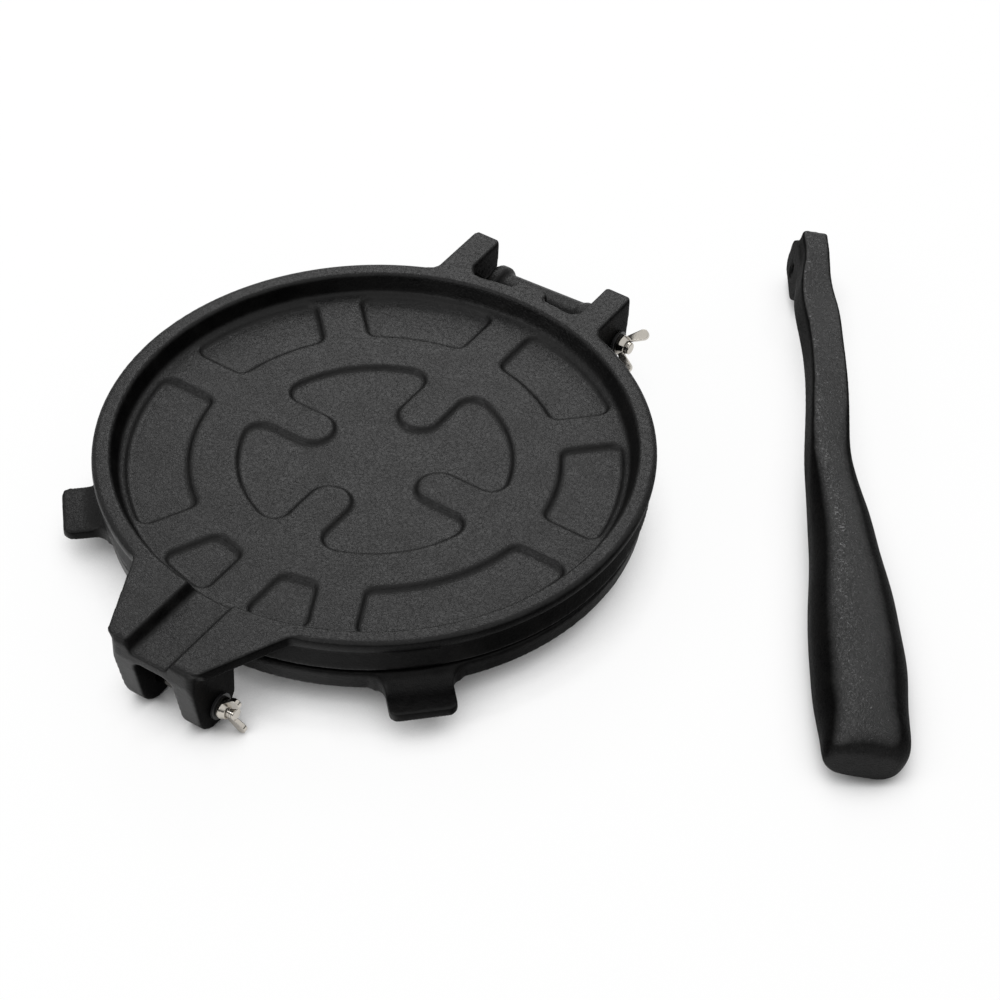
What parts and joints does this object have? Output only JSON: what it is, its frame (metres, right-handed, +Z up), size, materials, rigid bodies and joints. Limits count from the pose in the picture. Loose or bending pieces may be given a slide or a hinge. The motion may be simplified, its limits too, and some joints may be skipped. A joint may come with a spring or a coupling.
{
  "type": "tortilla press",
  "caption": "Cast iron tortilla press: hinged round plates with clevis ears and bolts with wing nuts, lying upside down beside its detached lever.",
  "frame": {"origin": "middle of the lower plate's pad, on the surface the press stands on", "axes": "+Z up, +X along the hinge bolt towards the wing nuts, +Y from the clevis ears to the hinge"},
  "size_m": [0.3491, 0.3687, 0.039],
  "materials": {
    "seasoned_iron": "seasoned matte with a fine sand-cast grain",
    "lever_iron": "seasoned matte, a little smoother on the grip",
    "nickel": "bright nickel plate"
  },
  "bodies": {
    "press_plate": {"lower_plate": "seasoned_iron"},
    "base_plate": {"upper_plate": "seasoned_iron", "hinge_washer": "nickel", "clevis_washer": "nickel"},
    "hinge_pin": {"hinge_bolt": "nickel"},
    "hinge_nut": {"hinge_wing_nut": "nickel"},
    "clevis_pin": {"clevis_bolt": "nickel"},
    "clevis_nut": {"clevis_wing_nut": "nickel"},
    "lever": {"lever": "lever_iron"}
  },
  "joints": [
    {"name": "plate_hinge", "type": "hinge", "parent": "press_plate", "child": "base_plate", "pos_m": [-0.0032, 0.1196, 0.0224], "axis": [-1, 0, 0], "range_deg": [0, 110]},
    {"name": "hinge_bolt_turn", "type": "hinge", "parent": "base_plate", "child": "hinge_pin", "pos_m": [-0.0032, 0.1196, 0.0224], "axis": [1, 0, 0], "continuous": true},
    {"name": "hinge_nut_turn", "type": "hinge", "parent": "hinge_pin", "child": "hinge_nut", "pos_m": [0.0383, 0.1196, 0.0224], "axis": [1, 0, 0], "continuous": true},
    {"name": "clevis_bolt_turn", "type": "hinge", "parent": "base_plate", "child": "clevis_pin", "pos_m": [0, -0.124, 0.0105], "axis": [1, 0, 0], "continuous": true},
    {"name": "clevis_nut_turn", "type": "hinge", "parent": "clevis_pin", "child": "clevis_nut", "pos_m": [0.0222, -0.124, 0.0105], "axis": [1, 0, 0], "continuous": true},
    {"name": "lever_lift", "type": "slide", "parent": "press_plate", "child": "lever", "axis": [0, 0, 1], "range_m": [0, 0.04]}
  ]
}
